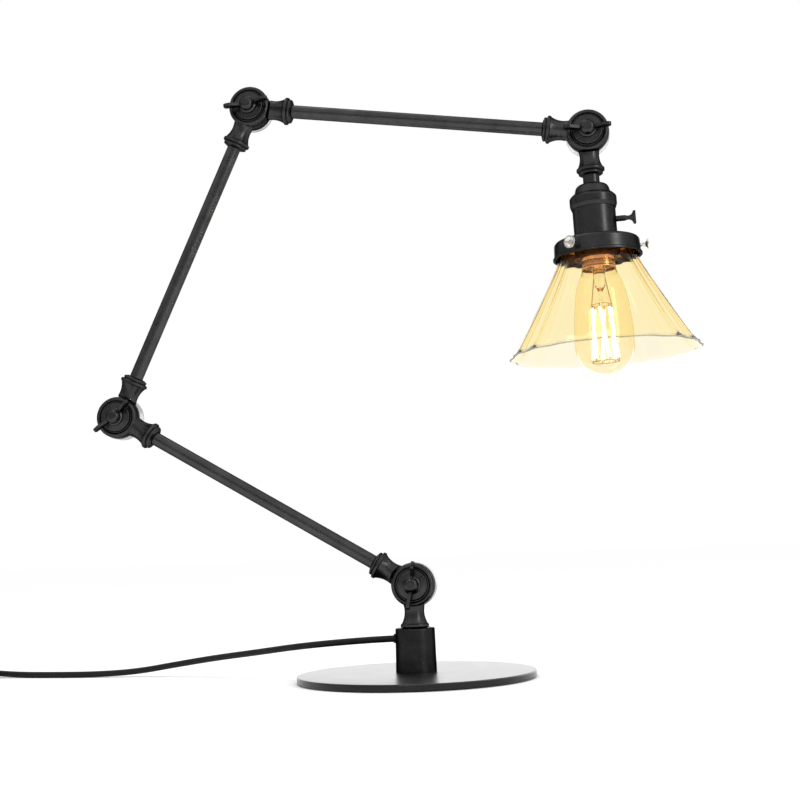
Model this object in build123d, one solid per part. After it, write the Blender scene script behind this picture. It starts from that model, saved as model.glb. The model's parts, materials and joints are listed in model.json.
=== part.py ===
from build123d import *
import math
import os

# Table lamp: a round base and post, three equal arms and a lamp head on four clamp knuckles,
# a fluted glass shade in a three-screw holder, a turn-key lampholder and a mains cord.
# Millimetres. The origin is the centre of the underside, on the table. +X is to the right
# in the plane of the arms, +Y is away from the wing nuts and +Z is up.

# Arms: directions in the XZ plane, degrees from +X towards +Z
POST_DIR = -90.0
LOWER_DIR = 149.1
MIDDLE_DIR = 65.2
UPPER_DIR = -9.1
HEAD_DIR = -88.5

# Knuckle halves, measured from the pivot
DISC_R = 15.4
FACE_GAP = 0.5
RIM_T = 7.6
STEP_R = DISC_R - 4.7
STEP_T = RIM_T + 1.3
CAVITY_IN_R = 5.8
CAVITY_OUT_R = DISC_R - 3.2
CAVITY_TOP = RIM_T - 3.0
NECK_START = DISC_R - 3.0
NECK_FOOT_R = 8.0
RING_R = 10.2
RING_AT = 28.6
NECK_END = RING_AT + 4.4
WAIST_R = 6.3
WAIST_AT = 21.0
CLEAR_R = DISC_R + 1.5
WIRE_BORE_R = 3.1
WIRE_WAY_R = 1.9
FRICTION_IN_R = CAVITY_OUT_R + 0.4
FRICTION_OUT_R = DISC_R - 0.6
FRICTION_T = 0.7

# Rods, seated in the knuckles' necks
ROD_LENGTH = 203.2
ROD_R = 5.0
ROD_BORE_R = ROD_R - 1.0
SEAT_DEPTH = 6.6
SEAT_PLAY = 0.03
ROD_SEAT = NECK_END - SEAT_DEPTH
ARM_SPAN = ROD_LENGTH + 2 * ROD_SEAT
LEAD_R = 2.2
LEAD_END = CLEAR_R + 1.1

# Base and post
PLATE_R = 85.0
PAD_INSET = 4.0
PAD_R = PLATE_R - PAD_INSET
PAD_T = 0.6
PLATE_T = 4.6
PLATE_TOP = PAD_T + PLATE_T
POST_H = 28.2
POST_TOP = PLATE_TOP + POST_H
POST_TOP_R = 14.1
POST_FOOT_R = POST_TOP_R + 0.5
PIVOT_HEIGHT = POST_TOP + NECK_END
CORD_EXIT_DOWN = 4.5
CORD_EXIT_Z = POST_TOP - CORD_EXIT_DOWN
BORE_FLOOR_DOWN = 8.9
POST_BORE_FLOOR = CORD_EXIT_Z - BORE_FLOOR_DOWN
RECESS_R = 10.5
RECESS_TOP = PLATE_TOP - 1.2
SCREW_R = 4.0
SCREW_HEAD_R = 6.6
SCREW_HEAD_T = 2.2
SCREW_TIP = POST_BORE_FLOOR - 3.0
WASHER_R = RECESS_R - 1.0
WASHER_T = 0.9

# Clamp bolts and wing nuts
BOLT_R = 3.0
BOLT_PLAY = 0.06
BOLT_HEAD_R = 6.4
BOLT_HEAD_T = 3.0
NUT_START = STEP_T + 0.4
BOLT_FRONT = NUT_START + 4.7
NUT_FOOT_R = 6.6
NUT_TOP_R = 4.9
NUT_TOP = NUT_START + 7.1
WING_TIP_R = 17.5
WING_T = 2.2
WING_FOOT = NUT_START + 1.0
WING_TOP = NUT_START + 9.3
BASE_WING_TURN = 98.0
LOWER_WING_TURN = 39.0
MIDDLE_WING_TURN = 7.0
HEAD_WING_TURN = 0.0

# Lampholder, measured down the head's axis from its pivot
CAP_TUBE_R = 6.0
CAP_TUBE_END = 39.2
CAP_DOME_R = 13.3
CAP_DOME_END = CAP_TUBE_END + 8.0
CAP_WALL = 1.0
CAP_COLLAR_H = 10.6
CAP_END = CAP_DOME_END + CAP_COLLAR_H + 0.2
CAP_BORE_R = 3.6
SHELL_R = 15.5
SHELL_T = 0.7
SHELL_TOP = CAP_DOME_END + 2.8
SHELL_END = 95.0
SHELL_PLAY = 0.02
CAP_COLLAR_R = SHELL_R + 1.5
LINER_R = SHELL_R - SHELL_T - 0.1
LINER_T = 0.6
LINER_END = SHELL_END - 1.0
BLOCK_R = LINER_R - LINER_T - 0.3
BLOCK_TOP = SHELL_TOP + 0.5
BLOCK_H = 10.0
BLOCK_BORE_R = 2.6
SWITCH_TOP = BLOCK_TOP + BLOCK_H
SWITCH_H = 12.5
SWITCH_END = SWITCH_TOP + SWITCH_H
SCREW_SHELL_R = BLOCK_R
SCREW_SHELL_T = 0.45
SCREW_SHELL_END = SHELL_END - 2.0
CONTACT_R = 3.6
CONTACT_H = 2.6
CONTACT_END = SWITCH_END + CONTACT_H
HEAD_LEAD_R = 0.9
HEAD_LEAD_SPACING = 3.0

# Switch key
KEY_AT = SWITCH_TOP + 6.0
KEY_STEM_R = 2.1
KEY_HOLE_R = KEY_STEM_R + 0.4
KEY_PLAY = 0.05
KEY_ROOT = 7.0
KEY_STEM_END = SHELL_R + 5.9
KEY_NECK = KEY_STEM_END + 2.6
KEY_NECK_R = 1.4
KEY_END = KEY_NECK + 5.4
KEY_HALF_W = 4.8
KEY_T = 2.4

# Shade holder and its screws
SHADE_NECK_R = 28.4
HOLDER_TOP = SWITCH_END + 2.9
HOLDER_R = SHADE_NECK_R + 3.1
HOLDER_LIP_R = HOLDER_R + 1.1
HOLDER_H = 18.7
HOLDER_END = HOLDER_TOP + HOLDER_H
HOLDER_T = 1.0
HOLDER_BEND_R = 22.0
HOLDER_BORE_R = SHELL_R + 0.05
RING_NUT_R = SHELL_R + 3.1
RING_NUT_T = 3.0
THUMB_DOWN = 11.6
THUMB_AT = HOLDER_TOP + THUMB_DOWN
THUMB_TURNS = (2.0, 122.0, 242.0)
THUMB_SHANK_R = 1.5
THUMB_PLAY = 0.05
THUMB_TIP = SHADE_NECK_R + 0.35
THUMB_SHOULDER = HOLDER_LIP_R + 0.4
THUMB_NECK_R = 1.7
THUMB_HEAD_R = 4.5
THUMB_END = THUMB_SHOULDER + 3.8

# Glass shade
FLUTES = 16
GLASS_T = 2.6
SHADE_DOWN = 6.1
SHADE_TOP = HOLDER_TOP + SHADE_DOWN
SHADE_NECK_H = 10.0
SHADE_RIM_R = 68.2
SHADE_H = 82.0
SHADE_RIM_AT = SHADE_TOP + SHADE_H
FLUTE_DEPTH = 1.1

# Bulb
CAP_TOP = CONTACT_END + 4.8
CAP_THREAD_R = SCREW_SHELL_R - SCREW_SHELL_T - 0.25
CAP_TOP_R = 9.0
CAP_FLOOR = CAP_TOP + 0.8
CAP_SKIRT_R = CAP_THREAD_R - 0.5
CAP_H = 23.1
CAP_SKIRT_END = CAP_TOP + CAP_H
THREAD_PITCH = 3.6
THREADS = 4
BULB_NECK_R = CAP_SKIRT_R - 0.7
BULB_GLASS_T = 0.8
GLASS_IN_CAP = 11.5
BULB_START = CAP_SKIRT_END - GLASS_IN_CAP
BULB_NECK_END = CAP_SKIRT_END + 2.0
BULB_R = 22.0
SWELL_H = 20.5
BULB_SHOULDER = BULB_NECK_END + SWELL_H
BULB_H = 73.5
BULB_TIP_AT = BULB_NECK_END + BULB_H
STEM_AT = BULB_START + 6.0
STEM_R = 4.4
STEM_H = 30.4
STEM_END = STEM_AT + STEM_H
WIRE_R = 0.5
FILAMENTS = 6
FILAMENT_R = 0.9
FILAMENT_TOP = STEM_END + 0.6
FILAMENT_END = BULB_TIP_AT - 9.0
FILAMENT_TOP_RING = 7.0
FILAMENT_END_RING = 9.5
FILAMENT_TURN = 10.0

# Cord
CORD_R = 2.4
CORD_LENGTH = 1800.0
BUSHING_R = 3.3
BUSHING_SLEEVE_R = 2.8
COIL_PITCH = 5.5
COIL_LAYER = 5.3
COIL_Z = 3.7
COIL_HALF_TURNS = 16
TIE_T = 1.0
TIE_W = 7.0
PLUG_LENGTH = 34.0
PLUG_HALF_W = 11.0
PLUG_HALF_H = 7.5
BLADE_LENGTH = 16.0
BLADE_H = 6.3
BLADE_T = 1.5
BLADE_SPACING = 12.7

# The free cord's route, from inside the post to the coil
CORD_ROUTE = [
    (-9.0, 0.0, CORD_EXIT_Z),
    (-43.0, 0.0, CORD_EXIT_Z),
    (-84.0, 9.0, 24.6),
    (-124.0, 30.0, 18.6),
    (-162.0, 49.0, 12.6),
    (-198.0, 60.0, 7.2),
    (-232.0, 65.5, 3.6),
    (-266.0, 64.5, 2.45),
    (-302.0, 68.5, 2.45),
    (-336.0, 76.5, 2.45),
    (-363.0, 85.0, COIL_Z),
    (-385.0, 85.0, COIL_Z),
]


def in_plane(degrees):
    """Unit direction in the XZ plane."""
    a = math.radians(degrees)
    return Vector(math.cos(a), 0, math.sin(a))


BASE_PIVOT = Vector(0, 0, PIVOT_HEIGHT)
LOWER_ELBOW = BASE_PIVOT + in_plane(LOWER_DIR) * ARM_SPAN
UPPER_ELBOW = LOWER_ELBOW + in_plane(MIDDLE_DIR) * ARM_SPAN
HEAD_PIVOT = UPPER_ELBOW + in_plane(UPPER_DIR) * ARM_SPAN
TO_FRONT = (0, -1, 0)


def at_pivot(pivot, degrees):
    """Place at a pivot: local X along the arm, local Z along the pivot's axis to the front."""
    return Plane(origin=pivot, x_dir=in_plane(degrees), z_dir=TO_FRONT).location


def down_head():
    """Place on the head's axis: local Z down the axis, local Y to the front."""
    return Plane(origin=HEAD_PIVOT, x_dir=in_plane(HEAD_DIR + 90), z_dir=in_plane(HEAD_DIR)).location


def outline(corners):
    """Closed outline through (radius, height, rounding) corners, in the XZ plane."""
    points = [Vector(c[0], 0, c[1]) for c in corners]
    roundings = [c[2] if len(c) > 2 else 0 for c in corners]
    count = len(points)
    spans = []
    for i, corner in enumerate(points):
        back = (points[i - 1] - corner).normalized()
        ahead = (points[(i + 1) % count] - corner).normalized()
        if roundings[i] == 0:
            spans.append((corner, corner, corner))
            continue
        half = math.radians(back.get_angle(ahead)) / 2
        reach = roundings[i] / math.tan(half)
        middle = (back + ahead).normalized()
        inset = roundings[i] / math.sin(half) - roundings[i]
        spans.append((corner + back * reach, corner + middle * inset, corner + ahead * reach))
    edges = []
    for i, (first, middle, last) in enumerate(spans):
        if roundings[i] > 0:
            edges.append(ThreePointArc(first, middle, last))
        following = spans[(i + 1) % count][0]
        if (following - last).length > 1e-6:
            edges.append(Line(last, following))
    return make_face(edges)


def turned(*corners):
    """Solid of revolution about Z."""
    return revolve(outline(corners), Axis.Z)


def tube(outer, inner, low, high):
    """Plain round tube, or a rod where inner is 0, along Z from low to high."""
    body = Pos(0, 0, low) * Cylinder(outer, high - low, align=(Align.CENTER, Align.CENTER, Align.MIN))
    if inner == 0:
        return body
    return body - Pos(0, 0, low) * Cylinder(inner, high - low, align=(Align.CENTER, Align.CENTER, Align.MIN))


ALONG_X = Rot(0, 90, 0)


def knuckle_half():
    """Front half of a knuckle: clamp disc, neck along +X and the way for the leads."""
    disc = turned(
        (BOLT_R + BOLT_PLAY, FACE_GAP),
        (CAVITY_IN_R, FACE_GAP),
        (CAVITY_IN_R, CAVITY_TOP),
        (CAVITY_OUT_R, CAVITY_TOP),
        (CAVITY_OUT_R, FACE_GAP),
        (DISC_R, FACE_GAP, 0.5),
        (DISC_R, RIM_T, 2.2),
        (DISC_R - 2.6, RIM_T, 1.0),
        (DISC_R - 3.4, RIM_T - 1.4, 0.5),
        (STEP_R + 0.5, RIM_T - 1.4, 0.4),
        (STEP_R, STEP_T - 0.9, 0.8),
        (NUT_FOOT_R, STEP_T),
        (BOLT_R + BOLT_PLAY, STEP_T),
    )
    neck = ALONG_X * turned(
        (0, NECK_START),
        (NECK_FOOT_R, NECK_START),
        (WAIST_R, WAIST_AT, 17.0),
        (RING_R - 1.0, RING_AT - 1.7, 0.4),
        (RING_R, RING_AT - 0.9, 0.6),
        (RING_R, RING_AT + 0.9, 0.7),
        (RING_R - 1.9, RING_AT + 1.6, 0.2),
        (RING_R - 1.4, RING_AT + 2.1, 0.4),
        (RING_R - 1.4, RING_AT + 3.3, 0.6),
        (ROD_R + 1.2, NECK_END, 0.3),
        (0, NECK_END),
    )
    deep = 2 * RING_R
    neck -= tube(DISC_R - 0.4, 0, FACE_GAP, deep)
    neck -= tube(CLEAR_R, 0, -deep, FACE_GAP)
    half = disc + neck
    half -= ALONG_X * tube(WIRE_BORE_R, 0, CLEAR_R - 1.0, NECK_END)
    way = ALONG_X * tube(WIRE_WAY_R, 0, CAVITY_OUT_R - 1.0, WAIST_AT - 1.0)
    half -= Pos(0, 0, CAVITY_TOP / 2 + 0.3) * way
    half -= ALONG_X * tube(ROD_R + SEAT_PLAY, 0, ROD_SEAT, NECK_END + 1)
    return half


FRONT_HALF = knuckle_half()
BACK_HALF = mirror(FRONT_HALF, Plane.XY)


def arm_rod():
    return ALONG_X * tube(ROD_R, ROD_BORE_R, ROD_SEAT, ROD_SEAT + ROD_LENGTH)


def arm_lead():
    return ALONG_X * tube(LEAD_R, 0, LEAD_END, ARM_SPAN - LEAD_END)


def friction_ring():
    """Washer on the front half's land, clear of the back half."""
    return tube(FRICTION_OUT_R, FRICTION_IN_R, FACE_GAP - FRICTION_T, FACE_GAP)


def clamp_bolt():
    """Bolt pressed into the back half, its round head on the back and its end in the wing nut."""
    back = -STEP_T
    return turned(
        (0, back - BOLT_HEAD_T),
        (BOLT_HEAD_R - 1.5, back - BOLT_HEAD_T, 2.0),
        (BOLT_HEAD_R, back),
        (BOLT_R + BOLT_PLAY, back),
        (BOLT_R + BOLT_PLAY, -FACE_GAP),
        (BOLT_R, -FACE_GAP),
        (BOLT_R, BOLT_FRONT - 0.5),
        (BOLT_R - 0.5, BOLT_FRONT),
        (0, BOLT_FRONT),
    )


def wing_nut(turn):
    """Closed wing nut: a domed boss and two flat wings whose tips rise to the front."""
    boss = turned(
        (0, NUT_START),
        (NUT_FOOT_R, NUT_START, 0.4),
        (NUT_FOOT_R, NUT_START + 1.4, 0.8),
        (NUT_TOP_R + 0.4, NUT_START + 2.4, 0.6),
        (NUT_TOP_R, NUT_TOP, 3.0),
        (0, NUT_TOP),
    )
    wing = outline(
        [
            (0, WING_FOOT),
            (NUT_FOOT_R, WING_FOOT, 2.0),
            (WING_TIP_R - 1.0, WING_TOP - 5.4, 2.0),
            (WING_TIP_R, WING_TOP - 0.6, 2.2),
            (WING_TIP_R - 5.0, WING_TOP, 2.0),
            (NUT_TOP_R + 0.5, NUT_TOP - 2.2, 1.5),
            (0, NUT_TOP - 2.2),
        ]
    )
    plate = extrude(wing, WING_T / 2, both=True)
    nut = boss + plate + Rot(0, 0, 180) * plate
    nut -= tube(BOLT_R + BOLT_PLAY, 0, NUT_START - 1, BOLT_FRONT + 0.4)
    return Rot(0, 0, turn) * nut


def base_pieces():
    """Base plate, pad, post and what holds them together."""
    pad = tube(PAD_R, 0, 0, PAD_T)
    plate = turned(
        (SCREW_R + 0.2, RECESS_TOP),
        (RECESS_R, RECESS_TOP),
        (RECESS_R, PAD_T),
        (PLATE_R, PAD_T, 0.6),
        (PLATE_R, PLATE_TOP, 0.9),
        (SCREW_R + 0.2, PLATE_TOP),
    )
    nipple_top = PIVOT_HEIGHT - ROD_SEAT
    post = turned(
        (SCREW_R, PLATE_TOP),
        (POST_FOOT_R, PLATE_TOP),
        (POST_TOP_R, POST_TOP, 0.9),
        (ROD_R + SEAT_PLAY, POST_TOP),
        (ROD_R + SEAT_PLAY, POST_BORE_FLOOR),
        (SCREW_R, POST_BORE_FLOOR),
    )
    from_left = Pos(0, 0, CORD_EXIT_Z) * Rot(0, -90, 0)
    post -= from_left * tube(BUSHING_SLEEVE_R, 0, 0, 2 * POST_FOOT_R)
    nipple = tube(ROD_R, CAP_BORE_R, POST_BORE_FLOOR, nipple_top)
    nipple -= from_left * tube(BUSHING_SLEEVE_R, 0, 0, 2 * ROD_R)
    screw = turned(
        (0, RECESS_TOP - WASHER_T - SCREW_HEAD_T),
        (SCREW_HEAD_R, RECESS_TOP - WASHER_T - SCREW_HEAD_T, 0.4),
        (SCREW_HEAD_R, RECESS_TOP - WASHER_T),
        (SCREW_R, RECESS_TOP - WASHER_T),
        (SCREW_R, SCREW_TIP),
        (0, SCREW_TIP),
    )
    washer = tube(WASHER_R, SCREW_R + 0.1, RECESS_TOP - WASHER_T, RECESS_TOP)
    bushing = tube(BUSHING_SLEEVE_R, CORD_R, ROD_R + 0.2, POST_FOOT_R + 0.8)
    bushing += tube(BUSHING_R, CORD_R, POST_TOP_R + 0.35, POST_FOOT_R + 0.8)
    bushing = from_left * bushing
    bushing -= post
    return {
        "base_plate": plate,
        "base_pad": pad,
        "post": post,
        "post_nipple": nipple,
        "post_screw": screw,
        "post_washer": washer,
        "cord_bushing": bushing,
    }


def socket_pieces():
    """Lampholder: cap, shell, liner, terminal block, switch body, screw shell and contact."""
    cap = turned(
        (CAP_BORE_R, ROD_SEAT),
        (ROD_R, ROD_SEAT),
        (ROD_R, NECK_END),
        (CAP_TUBE_R, NECK_END),
        (CAP_TUBE_R, CAP_TUBE_END, 0.8),
        (CAP_DOME_R - 1.7, CAP_TUBE_END + 1.4, 4.2),
        (CAP_DOME_R, CAP_DOME_END, 0.5),
        (CAP_COLLAR_R - 2.1, CAP_DOME_END + 0.2, 0.6),
        (CAP_COLLAR_R, CAP_DOME_END + 2.4, 2.0),
        (CAP_COLLAR_R, CAP_END - 2.8, 2.4),
        (SHELL_R + 0.5, CAP_END),
        (SHELL_R + SHELL_PLAY, CAP_END),
        (SHELL_R + SHELL_PLAY, SHELL_TOP),
        (CAP_DOME_R - CAP_WALL + 0.1, SHELL_TOP - 1.6, 0.5),
        (CAP_DOME_R - CAP_WALL - 1.7, CAP_TUBE_END + 2.6, 3.0),
        (CAP_BORE_R, CAP_TUBE_END + 2.0),
    )
    key_way = Pos(0, 0, KEY_AT) * ALONG_X
    shell = tube(SHELL_R, SHELL_R - SHELL_T, SHELL_TOP, SHELL_END)
    shell -= key_way * tube(KEY_HOLE_R, 0, 0, 2 * SHELL_R)
    liner = tube(LINER_R, LINER_R - LINER_T, SWITCH_TOP, LINER_END)
    liner -= key_way * tube(KEY_HOLE_R, 0, 0, 2 * SHELL_R)
    block = turned(
        (BLOCK_BORE_R, BLOCK_TOP),
        (BLOCK_R, BLOCK_TOP, 0.8),
        (BLOCK_R, SWITCH_TOP),
        (BLOCK_BORE_R, SWITCH_TOP),
    )
    switch = tube(BLOCK_R, 0, SWITCH_TOP, SWITCH_END)
    switch -= key_way * tube(KEY_STEM_R + KEY_PLAY, 0, KEY_ROOT - 0.5, 2 * SHELL_R)
    screw_shell = tube(SCREW_SHELL_R, SCREW_SHELL_R - SCREW_SHELL_T, SWITCH_END, SCREW_SHELL_END)
    contact = turned(
        (0, SWITCH_END),
        (CONTACT_R + 3.0, SWITCH_END),
        (CONTACT_R, CONTACT_END),
        (0, CONTACT_END),
    )
    apart = HEAD_LEAD_SPACING / 2
    leads = [Pos(side * apart, 0, 0) * tube(HEAD_LEAD_R, 0, LEAD_END, SWITCH_TOP) for side in (-1, 1)]
    return {
        "socket_cap": cap,
        "socket_shell": shell,
        "socket_liner": liner,
        "terminal_block": block,
        "switch_body": switch,
        "screw_shell": screw_shell,
        "centre_contact": contact,
        "head_leads": Compound(children=leads),
    }


def switch_key():
    """Turn key: round stem, narrow neck and a flat fan end."""
    stem = tube(KEY_STEM_R, 0, KEY_ROOT, KEY_STEM_END)
    neck = turned(
        (0, KEY_STEM_END),
        (KEY_STEM_R, KEY_STEM_END),
        (KEY_NECK_R, KEY_NECK),
        (KEY_NECK_R - 0.1, KEY_END - 2),
        (0, KEY_END - 2),
    )
    fan = outline(
        [
            (0, KEY_NECK - 1.5),
            (KEY_NECK_R - 0.3, KEY_NECK - 1.5),
            (KEY_NECK_R + 0.1, KEY_END - 3.2, 3.0),
            (KEY_HALF_W, KEY_END - 1.6, 0.5),
            (KEY_HALF_W, KEY_END, 0.5),
            (0, KEY_END),
        ]
    )
    fan = extrude(fan, KEY_T / 2, both=True)
    fan += mirror(fan, Plane.YZ)
    return Pos(0, 0, KEY_AT) * ALONG_X * (stem + neck + fan)


def holder_pieces():
    """Shade holder with its ring nut, and the three thumb screws in it."""
    under = HOLDER_TOP + HOLDER_T + 0.1
    holder = turned(
        (HOLDER_BORE_R, HOLDER_TOP),
        (HOLDER_BEND_R, HOLDER_TOP + 1.3, 6.0),
        (HOLDER_R - 0.3, HOLDER_TOP + 2.4, 7.6),
        (HOLDER_R, HOLDER_END - 2.2, 0.4),
        (HOLDER_LIP_R, HOLDER_END - 1.5, 0.5),
        (HOLDER_LIP_R, HOLDER_END, 0.5),
        (HOLDER_R - HOLDER_T, HOLDER_END),
        (HOLDER_R - HOLDER_T - 0.3, HOLDER_TOP + 3.6, 6.6),
        (HOLDER_BEND_R, under + 1.3, 5.0),
        (HOLDER_BORE_R, under),
    )
    slope = 1.3 / (HOLDER_BEND_R - HOLDER_BORE_R)
    ring = turned(
        (HOLDER_BORE_R, under),
        (RING_NUT_R, under + slope * (RING_NUT_R - HOLDER_BORE_R)),
        (RING_NUT_R, under + RING_NUT_T),
        (HOLDER_BORE_R, under + RING_NUT_T),
    )
    screw = turned(
        (0, THUMB_TIP),
        (THUMB_SHANK_R, THUMB_TIP, 0.3),
        (THUMB_SHANK_R, THUMB_SHOULDER),
        (THUMB_NECK_R + 0.2, THUMB_SHOULDER),
        (THUMB_NECK_R, THUMB_SHOULDER + 1.6, 0.8),
        (THUMB_HEAD_R, THUMB_END - 0.9, 0.3),
        (THUMB_HEAD_R, THUMB_END, 0.2),
        (THUMB_HEAD_R - 1.0, THUMB_END),
        (THUMB_NECK_R - 0.1, THUMB_END - 1.3),
        (0, THUMB_END - 1.3),
    )
    pieces = {"shade_holder": holder, "holder_ring": ring}
    for i, turn in enumerate(THUMB_TURNS):
        place = Rot(0, 0, turn) * Pos(0, 0, THUMB_AT) * ALONG_X
        pieces["shade_holder"] -= place * tube(THUMB_SHANK_R + THUMB_PLAY, 0, SHADE_NECK_R - 8.0, THUMB_END)
        pieces[f"thumb_screw_{i + 1}"] = place * screw
    return pieces


def fluted(radius, depth, height):
    """Closed wavy section of the shade."""
    count = 4 * FLUTES
    points = []
    for i in range(count):
        a = 2 * math.pi * i / count
        r = radius + depth * math.cos(FLUTES * a)
        points.append((r * math.cos(a), r * math.sin(a), height))
    return make_face(Spline(*points, periodic=True))


def glass_shade():
    """Fluted shade: round neck, widening body and a lip that turns outwards."""
    rise = SHADE_RIM_R - SHADE_NECK_R
    body_at = SHADE_TOP + SHADE_NECK_H
    tall = SHADE_RIM_AT - body_at
    # Shares of the body's height, of its widening and of the flutes' depth
    profile = [
        (0.070, 0.018, 0.05),
        (0.167, 0.090, 0.3),
        (0.417, 0.335, 0.8),
        (0.694, 0.615, 1.0),
        (0.868, 0.790, 1.0),
        (0.944, 0.900, 1.1),
        (1.000, 1.000, 1.2),
        (1.042, 1.085, 1.3),
    ]
    levels = [(SHADE_TOP + k * SHADE_NECK_H, 0, 0) for k in (-0.5, 0, 0.5, 1)]
    levels += [(body_at + h * tall, k, d) for h, k, d in profile]
    wall = GLASS_T * math.hypot(tall, rise) / tall
    outer = loft([fluted(SHADE_NECK_R + rise * k, FLUTE_DEPTH * d, z) for z, k, d in levels])
    inner = loft([fluted(SHADE_NECK_R - wall + rise * k, FLUTE_DEPTH * d, z) for z, k, d in levels])
    return (outer & tube(2 * SHADE_RIM_R, 0, SHADE_TOP, SHADE_RIM_AT)) - inner


def bulb_pieces():
    """Tubular bulb: glass, screw cap, tip, stem and filaments."""
    round_end = BULB_TIP_AT - BULB_R
    neck_in = BULB_NECK_R - BULB_GLASS_T
    wide_in = BULB_R - BULB_GLASS_T
    glass = turned(
        (neck_in, BULB_START),
        (BULB_NECK_R, BULB_START),
        (BULB_NECK_R, BULB_NECK_END, 5.0),
        (BULB_R, BULB_SHOULDER, 24.0),
        (BULB_R, round_end),
        (BULB_R, BULB_TIP_AT - 0.01, BULB_R - 0.02),
        (0, BULB_TIP_AT),
        (0, BULB_TIP_AT - BULB_GLASS_T),
        (wide_in, BULB_TIP_AT - BULB_GLASS_T - 0.01, wide_in - 0.02),
        (wide_in, round_end),
        (wide_in, BULB_SHOULDER, 23.0),
        (neck_in, BULB_NECK_END, 5.0),
    )
    thread = []
    for i in range(THREADS):
        z = CAP_TOP + 1.6 + i * THREAD_PITCH
        thread.append((CAP_THREAD_R - 0.9, z, 0.5))
        thread.append((CAP_THREAD_R, z + THREAD_PITCH / 2, 0.9))
    cap = turned(
        (CAP_TOP_R, CAP_TOP),
        (CAP_THREAD_R - 1.2, CAP_TOP),
        *thread,
        (CAP_SKIRT_R, CAP_TOP + (THREADS + 1) * THREAD_PITCH - 0.5, 0.4),
        (CAP_SKIRT_R, CAP_SKIRT_END),
        (BULB_NECK_R, CAP_SKIRT_END),
        (BULB_NECK_R, BULB_START - 1.0),
        (BULB_NECK_R - 0.4, CAP_FLOOR + 0.8),
        (CAP_TOP_R, CAP_FLOOR),
    )
    tip = turned(
        (0, CONTACT_END),
        (CONTACT_R + 0.4, CONTACT_END, 0.8),
        (CONTACT_R + 1.6, CONTACT_END + 1.6),
        (CAP_TOP_R, CAP_TOP),
        (CAP_TOP_R, CAP_FLOOR),
        (0, CAP_FLOOR),
    )
    stem = turned(
        (0, STEM_AT),
        (neck_in, STEM_AT),
        (neck_in, STEM_AT + 1.2),
        (STEM_R, STEM_AT + 6.0, 3.0),
        (STEM_R - 0.6, STEM_END - 13.4, 1.5),
        (STEM_R - 2.8, STEM_END - 9.4),
        (STEM_R - 3.0, STEM_END - 2.4),
        (STEM_R - 2.2, STEM_END - 1.0, 0.8),
        (WIRE_R + 0.3, STEM_END),
        (0, STEM_END),
    )
    sticks = []
    for i in range(FILAMENTS):
        a = math.radians(FILAMENT_TURN + 360 * i / FILAMENTS)
        top = Vector(FILAMENT_TOP_RING * math.cos(a), FILAMENT_TOP_RING * math.sin(a), FILAMENT_TOP)
        end = Vector(FILAMENT_END_RING * math.cos(a), FILAMENT_END_RING * math.sin(a), FILAMENT_END)
        along = Plane(origin=top, z_dir=end - top).location
        sticks.append(along * tube(FILAMENT_R, 0, 0, (end - top).length))
    wires = Pos(0, 0, FILAMENT_TOP) * Torus(FILAMENT_TOP_RING, WIRE_R)
    wires += Pos(0, 0, FILAMENT_END) * Torus(FILAMENT_END_RING, WIRE_R)
    wires += Pos(0, 0, FILAMENT_TOP) * ALONG_X * tube(WIRE_R, 0, -FILAMENT_TOP_RING, FILAMENT_TOP_RING)
    wires += tube(WIRE_R, 0, STEM_END, FILAMENT_TOP)
    for stick in sticks:
        wires += stick
    return {
        "bulb_glass": glass,
        "bulb_cap": cap,
        "bulb_tip": tip,
        "bulb_stem": stem,
        "bulb_filaments": wires,
    }


def round_tube(path):
    """Cord along a path."""
    start = Plane(origin=path @ 0, z_dir=path % 0)
    return sweep(start * Circle(CORD_R), path)


def free_cord():
    """The cord from the post to the coil: straight runs joined by tangent arcs."""
    points = [Vector(*p) for p in CORD_ROUTE]
    radii = []
    for before, corner, after in zip(points, points[1:], points[2:]):
        turn = (corner - before).get_angle(after - corner)
        shorter = min((corner - before).length, (after - corner).length)
        radii.append(0.45 * shorter / math.tan(math.radians(turn) / 2))
    print("cord radii", [round(r) for r in radii])
    path = FilletPolyline(*points, radius=radii)
    cord = round_tube(path)
    section = math.pi * CORD_R**2
    print("cord volume over section times length", round(cord.volume / (section * path.length), 4))
    return cord, path.length


def coil_radii(middle):
    """Half-turn radii of a four-layer coil that spirals in and out, a layer up at each turning point."""
    steps = [1, 0, -1, -2, -3, -2, -1, 0, 1, 0, -1, -2, -3, -2, -1, 0]
    outer = middle + COIL_PITCH / 2
    return [outer + s * COIL_PITCH / 2 for s in steps]


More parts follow.
